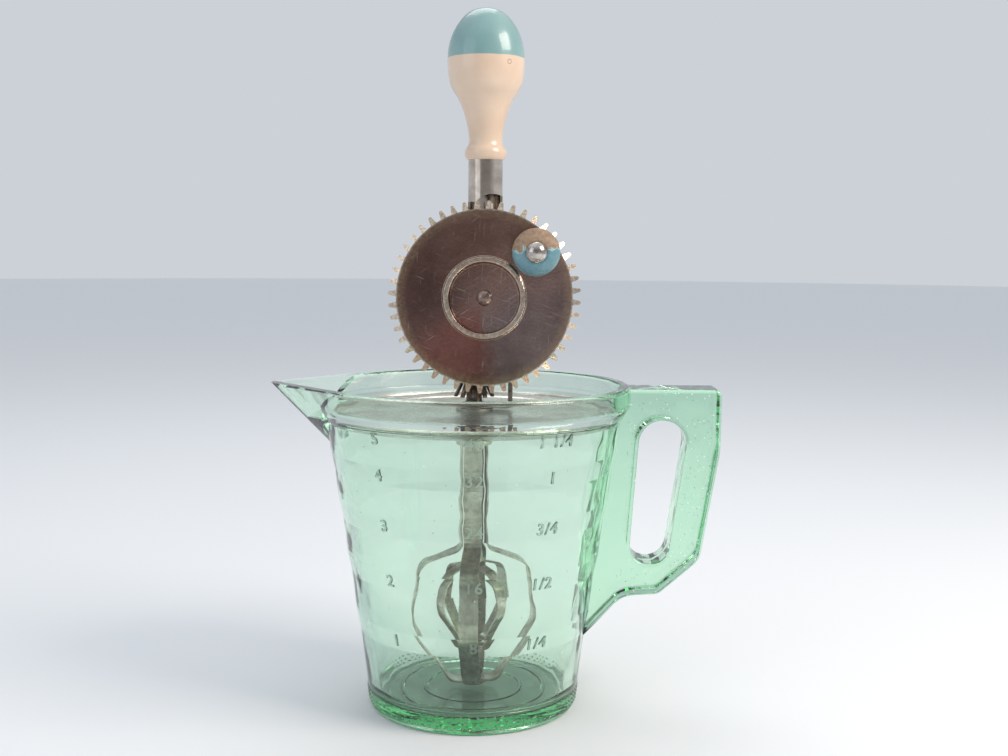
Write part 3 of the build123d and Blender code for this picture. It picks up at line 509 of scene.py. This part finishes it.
RIVET = SheetMetal("polished_rivet_steel", roughness=0.12, metallic=1.0, light="cfc8c2", dark="8c827c",
                   patch_mm=3, bump_mm=0.006)
STRIP = SheetMetal("tinned_dasher_strip", roughness=0.24, metallic=1.0, light="dcd2c7", dark="8c7b6d",
                   patch_mm=8, grain=(1, 1, 0.04), bump_mm=0.012)
GEAR = SheetMetal("oiled_dark_gear", roughness=0.4, metallic=1.0, light="7a6e66", dark="2c2521",
                  patch_mm=2.5)
COPPER = SheetMetal("bare_copper_washer", roughness=0.3, metallic=1.0, light="c98a68", dark="7c4c38",
                    patch_mm=3)
HANDLE = GlossPaint("gloss_enamel_handle", roughness=0.28)
KNOB = WornPaint("worn_enamel_knob", roughness=0.22)

FINISHES: dict[str, Finish] = {
    "glass_jug": GLASS, "lid_pan": LID_TIN, "lid_hub": DULL_STEEL, "hub_clinch_ring": DULL_STEEL,
    "bearing_bracket": DULL_STEEL, "upper_bush": DULL_STEEL, "frame_channel": NICKEL,
    "bracket_rivets": DULL_STEEL, "handle_grip": HANDLE, "ferrule_nail": DULL_STEEL, "wheel_axle": AXLE,
    "axle_spacer": DULL_STEEL, "axle_washer": DULL_STEEL, "drive_wheel": WHEEL, "knob_stud": RIVET,
    "knob_washer": DULL_STEEL, "crank_knob": KNOB, "spindle": STRIP, "thrust_washer": DULL_STEEL,
    "pinion": GEAR, "dasher_collar": STRIP, "strip_band": STRIP, "outer_loop_a": STRIP, "outer_loop_b": STRIP,
    "inner_loop_a": STRIP, "inner_loop_b": STRIP, "foot_washer": COPPER, "foot_rivet": STRIP,
}


def add_object(name: str, mesh: bpy.types.Mesh, finish: Finish | None = None) -> bpy.types.Object:
    """Links a mesh at the origin, with its finish.

    Args:
        name: The object's name.
        mesh: Its mesh, in metres and in place.
        finish: What it is dressed in.

    Returns:
        The new object.
    """
    made = bpy.data.objects.new(name, mesh)
    bpy.context.scene.collection.objects.link(made)
    if finish:
        mesh.materials.clear()
        mesh.materials.append(finish.material())
    return made


def plain_mesh(source: bpy.types.Object, name: str) -> bpy.types.Mesh:
    """Turns a text or a modified object to plain data, and removes it.

    Args:
        source: The object that is evaluated.
        name: The new mesh's name.

    Returns:
        The evaluated mesh.
    """
    bpy.context.view_layer.update()
    made = bpy.data.meshes.new_from_object(source.evaluated_get(bpy.context.evaluated_depsgraph_get()))
    made.name = name
    bpy.data.objects.remove(source)
    return made


class Column(Enum):
    """The three columns of graduation numbers, by their angle from the jug's front in degrees."""

    CUPS = -37.0
    OUNCES = 1.5
    QUARTS = 32.0


@dataclass
class JugMarks:
    """What is pressed into the glass: graduation numbers, a stippled foot and two rings in the floor."""

    rows: tuple[tuple[float, str, str, str], ...] = (  # height in mm, cups, ounces, quarts
        (130.2, "5", "40", "1 1/4"), (114.5, "4", "32", "1"), (92.3, "3", "24", "3/4"),
        (67.8, "2", "16", "1/2"), (40.7, "1", "8", "1/4"),
    )
    cap_height: float = 5.2
    size_per_cap: float = 1.4
    stroke: float = 0.09
    letter_gap: float = 1.15
    curve_steps: int = 3
    apart: float = 0.5  # any length: it only parts a digit's front from its back
    proud: float = 0.6
    sunk: float = 0.12
    cast_from: float = 200.0  # outside the jug on every side
    stipple_rows: int = 3
    stipple_count: int = 84
    stipple_ring: float = 47.15
    stipple_flare: float = 0.12
    stipple_z: float = 3.4
    stipple_rise: float = 2.6
    stipple_r: float = 0.85
    stipple_flat: float = 0.8
    floor_rings: tuple[float, ...] = (22.0, 33.0)
    floor_ring_z: Span = (6.45, 6.9)
    floor_ring_half: float = 1.1
    floor_ring_steps: int = 96
    pieces: list[bpy.types.Object] = field(default_factory=list)

    def wall(self) -> BVHTree:
        """The jug's surface, to lay marks on."""
        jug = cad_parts["glass_jug"]
        return BVHTree.FromObject(jug, bpy.context.evaluated_depsgraph_get())

    def reach(self, wall: BVHTree, angle: float, z: float) -> float:
        """How far the wall stands from the jug's axis.

        Args:
            wall: The jug's surface.
            angle: Radians from the jug's front, to the right.
            z: The height in metres.

        Returns:
            The outer radius in metres.
        """
        out = Vector((math.sin(angle), -math.cos(angle), 0))
        hit = wall.ray_cast(out * mm(self.cast_from) + Vector((0, 0, z)), -out)[0]
        return math.hypot(hit.x, hit.y)

    def number(self, words: str, azimuth: float, height: float, wall: BVHTree) -> bpy.types.Mesh:
        """One raised number, bent round the wall.

        Args:
            words: The digits.
            azimuth: Degrees from the jug's front, to the right.
            height: The middle of the number, in mm.
            wall: The jug's surface.

        Returns:
            The number's mesh, in place.
        """
        text = bpy.data.curves.new("digits", "FONT")
        text.body = words
        text.size = mm(self.cap_height) * self.size_per_cap
        text.align_x = "CENTER"
        text.align_y = "CENTER"
        text.extrude = self.apart
        text.offset = mm(self.stroke)
        text.resolution_u = self.curve_steps
        text.space_character = self.letter_gap
        holder = bpy.data.objects.new("digits", text)
        bpy.context.scene.collection.objects.link(holder)
        mesh = plain_mesh(holder, "digits")
        turn = math.radians(azimuth)
        for vertex in mesh.vertices:
            z = mm(height) + vertex.co.y
            angle = turn + vertex.co.x / self.reach(wall, turn, z)
            radius = self.reach(wall, angle, z) + (mm(self.proud) if vertex.co.z > 0 else -mm(self.sunk))
            vertex.co = Vector((math.sin(angle), -math.cos(angle), 0)) * radius + Vector((0, 0, z))
        return mesh

    def stipple(self) -> bpy.types.Object:
        """Rows of small pressed nubs round the foot, made by Geometry Nodes."""
        graph = Graph(bpy.data.node_groups.new("foot_stipple", "GeometryNodeTree"))
        values = {"Count": self.stipple_count, "Ring": mm(self.stipple_ring), "Nub": mm(self.stipple_r),
                  "Rise": mm(self.stipple_rise)}
        names = {}
        for label, value in values.items():
            kind = "NodeSocketInt" if isinstance(value, int) else "NodeSocketFloat"
            names[label] = graph.tree.interface.new_socket(label, in_out="INPUT", socket_type=kind).identifier
        graph.tree.interface.new_socket("Geometry", in_out="OUTPUT", socket_type="NodeSocketGeometry")
        self.stipple_nodes(graph)
        holder = add_object("stipple_source", bpy.data.meshes.new("stipple_source"))
        modifier = holder.modifiers.new("stipple", "NODES")
        modifier.node_group = graph.tree
        for label, value in values.items():
            modifier[names[label]] = value
        return add_object("foot_stipple", plain_mesh(holder, "foot_stipple"))

    def stipple_nodes(self, graph: Graph) -> None:
        """The nodes that set flat balls on rings, every other ring turned by half a step."""
        given = graph.add("NodeGroupInput").outputs
        join = graph.add("GeometryNodeJoinGeometry")
        ball = graph.add("GeometryNodeMeshIcoSphere", {"Radius": given["Nub"], "Subdivisions": 1})
        inputs = {"Geometry": ball.outputs["Mesh"], "Scale": (1.0, 1.0, self.stipple_flat)}
        nub = graph.add("GeometryNodeTransform", inputs).outputs["Geometry"]
        for row in range(self.stipple_rows):
            lift = graph.calc("MULTIPLY_ADD", given["Rise"], float(row), mm(self.stipple_z))
            wide = graph.calc("MULTIPLY_ADD", lift, self.stipple_flare, given["Ring"])
            ring = graph.add("GeometryNodeMeshCircle", {"Vertices": given["Count"], "Radius": wide})
            up = graph.add("ShaderNodeCombineXYZ", {"Z": lift}).outputs[0]
            half_step = math.pi / self.stipple_count * (row % 2)
            turn = graph.add("ShaderNodeCombineXYZ", {"Z": half_step}).outputs[0]
            inputs = {"Geometry": ring.outputs["Mesh"], "Translation": up, "Rotation": turn}
            points = graph.add("GeometryNodeTransform", inputs).outputs["Geometry"]
            nubs = graph.add("GeometryNodeInstanceOnPoints", {"Points": points, "Instance": nub})
            graph.feed(join.inputs[0], nubs.outputs["Instances"])
        real = graph.add("GeometryNodeRealizeInstances", {"Geometry": join.outputs[0]}).outputs[0]
        inputs = {"Geometry": real, "Material": GLASS.material()}
        graph.add("NodeGroupOutput", {"Geometry": graph.add("GeometryNodeSetMaterial", inputs).outputs[0]})

    def floor_ring(self, radius: float) -> bpy.types.Object:
        """A low ring pressed in the jug's floor.

        Args:
            radius: Of the ring's middle, in mm.

        Returns:
            The ring.
        """
        mesh = bpy.data.meshes.new("floor_ring")
        shape = bmesh.new()
        base, top = self.floor_ring_z
        half = self.floor_ring_half
        profile = [(radius - half, base), (radius - half * 0.5, top),
                   (radius + half * 0.5, top), (radius + half, base)]
        rings = []
        for i in range(self.floor_ring_steps):
            a = 2 * math.pi * i / self.floor_ring_steps
            corners = [(mm(r) * math.cos(a), mm(r) * math.sin(a), mm(z)) for r, z in profile]
            rings.append([shape.verts.new(corner) for corner in corners])
        for i, here in enumerate(rings):
            after = rings[(i + 1) % len(rings)]
            for j in range(len(profile)):
                k = (j + 1) % len(profile)
                shape.faces.new((here[j], here[k], after[k], after[j]))
        bmesh.ops.recalc_face_normals(shape, faces=shape.faces)
        shape.to_mesh(mesh)
        shape.free()
        return add_object(f"floor_ring_{int(radius)}", mesh, GLASS)

    def build(self) -> None:
        """Makes every mark and lets it ride on the jug."""
        wall = self.wall()
        for row, (height, *words) in enumerate(self.rows):
            for column, digits in zip(Column, words):
                mesh = self.number(digits, column.value, height, wall)
                self.pieces.append(add_object(f"number_{column.name.lower()}_{row}", mesh, MARK_GLASS))
        self.pieces.append(self.stipple())
        self.pieces += [self.floor_ring(radius) for radius in self.floor_rings]
        for piece in self.pieces:
            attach(piece, "jug")
            LOG.info("%s: %d faces", piece.name, len(piece.data.polygons))


@dataclass
class CadDress:
    """Gives every CAD node its finish."""

    finishes: dict[str, Finish]

    def build(self) -> None:
        """Puts each finish in its node's material slots."""
        for name, finish in self.finishes.items():
            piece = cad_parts[name]
            made = finish.material()
            if not piece.material_slots:
                piece.data.materials.append(made)
            for slot in piece.material_slots:
                slot.material = made
            LOG.info("%s: %s", name, finish.name)


@dataclass(frozen=True)
class Lamp:
    """A square soft lamp that looks at the object's middle. Places and sizes are in metres."""

    name: str
    at: Point
    size: float
    watts: float
    colour: str
    aim: Point = (0, 0, 0.15)

    def build(self) -> None:
        """Hangs the lamp."""
        data = bpy.data.lights.new(self.name, "AREA")
        data.shape = "SQUARE"
        data.size = self.size
        data.energy = self.watts
        data.color = linear(self.colour)[:3]
        piece = bpy.data.objects.new(self.name, data)
        bpy.context.scene.collection.objects.link(piece)
        piece.location = self.at
        piece.rotation_euler = (Vector(self.aim) - Vector(self.at)).to_track_quat("-Z", "Y").to_euler()


@dataclass
class Studio:
    """A plain pale floor, a pale surround and soft lamps."""

    floor_r: float = 6.0
    floor_colour: str = "eceef0"
    surround: str = "ccd1d7"
    band: str = "a6acb3"
    overhead: str = "f3f5f7"
    camera_side: str = "6f6c6b"
    heights: Point = (0.2, 0.42, 0.8)  # of the surround's edge, the band and the light top
    camera_way: Span = (-0.35, -0.9)
    camera_dim: float = 0.72
    paper_roughness: float = 0.9
    floor_segments: int = 96
    eye_mm: Point = (13.5, -582.0, 214.13)
    tilt_down: float = 6.24
    roll: float = 0.45
    focal_px: float = 1287.0
    picture_px: float = 1008.0
    sensor_mm: float = 36.0
    lamps: tuple[Lamp, ...] = (
        Lamp("key", (0.75, -0.35, 0.75), 0.5, 7.0, "fff4e8"),
        Lamp("fill", (-0.9, -0.7, 0.6), 0.8, 1.6, "eef4ff"),
        Lamp("top", (-0.1, 0.5, 1.1), 0.7, 2.4, "ffffff"),
    )

    def floor(self) -> None:
        """A wide round floor."""
        mesh = bpy.data.meshes.new("studio_floor")
        shape = bmesh.new()
        bmesh.ops.create_circle(shape, cap_ends=True, radius=self.floor_r, segments=self.floor_segments)
        shape.to_mesh(mesh)
        shape.free()
        piece = add_object("studio_floor", mesh)
        made = bpy.data.materials.new("studio_paper")
        made.use_nodes = True
        shader = made.node_tree.nodes["Principled BSDF"]
        shader.inputs["Base Color"].default_value = linear(self.floor_colour)
        shader.inputs["Roughness"].default_value = self.paper_roughness
        mesh.materials.append(made)

    def world(self) -> None:
        """A plain pale surround. Mirrored or bent, it has a grey band, a light top and a dim camera side."""
        world = bpy.data.worlds.new("studio_world")
        bpy.context.scene.world = world
        world.use_nodes = True
        graph = Graph(world.node_tree)
        rays = graph.add("ShaderNodeLightPath").outputs
        bent = graph.calc("MAXIMUM", rays["Is Glossy Ray"], rays["Is Transmission Ray"])
        way = graph.axes(graph.add("ShaderNodeTexCoord").outputs["Generated"])
        high = graph.ramp(way["Z"], *zip(self.heights, (self.surround, self.band, self.overhead)))
        near = graph.spread(way["Y"], self.camera_way, (0.0, self.camera_dim))
        dim = graph.blend(near, high, self.camera_side)
        back = graph.tree.nodes["Background"]
        graph.feed(back.inputs["Color"], graph.blend(bent, self.surround, dim))

    def camera(self) -> None:
        """The photograph's viewpoint."""
        data = bpy.data.cameras.new("view")
        data.sensor_fit = "HORIZONTAL"
        data.sensor_width = self.sensor_mm
        data.lens = self.focal_px / self.picture_px * self.sensor_mm
        data.clip_start = 0.01
        piece = bpy.data.objects.new("view", data)
        bpy.context.scene.collection.objects.link(piece)
        tilt = Matrix.Rotation(math.radians(90 - self.tilt_down), 4, "X")
        turn = tilt @ Matrix.Rotation(math.radians(self.roll), 4, "Z")
        piece.matrix_world = Matrix.Translation([mm(v) for v in self.eye_mm]) @ turn
        bpy.context.scene.camera = piece

    def build(self) -> None:
        """Sets the stage."""
        bpy.context.scene.view_settings.view_transform = "Standard"
        self.camera()
        self.floor()
        self.world()
        for lamp in self.lamps:
            lamp.build()


def main() -> None:
    """Builds the stage, dresses the CAD nodes and adds what is pressed in the glass."""
    logging.basicConfig(level=logging.INFO, format="%(name)s %(message)s")
    Studio().build()
    CadDress(FINISHES).build()
    JugMarks().build()


if __name__ == "__main__":
    main()
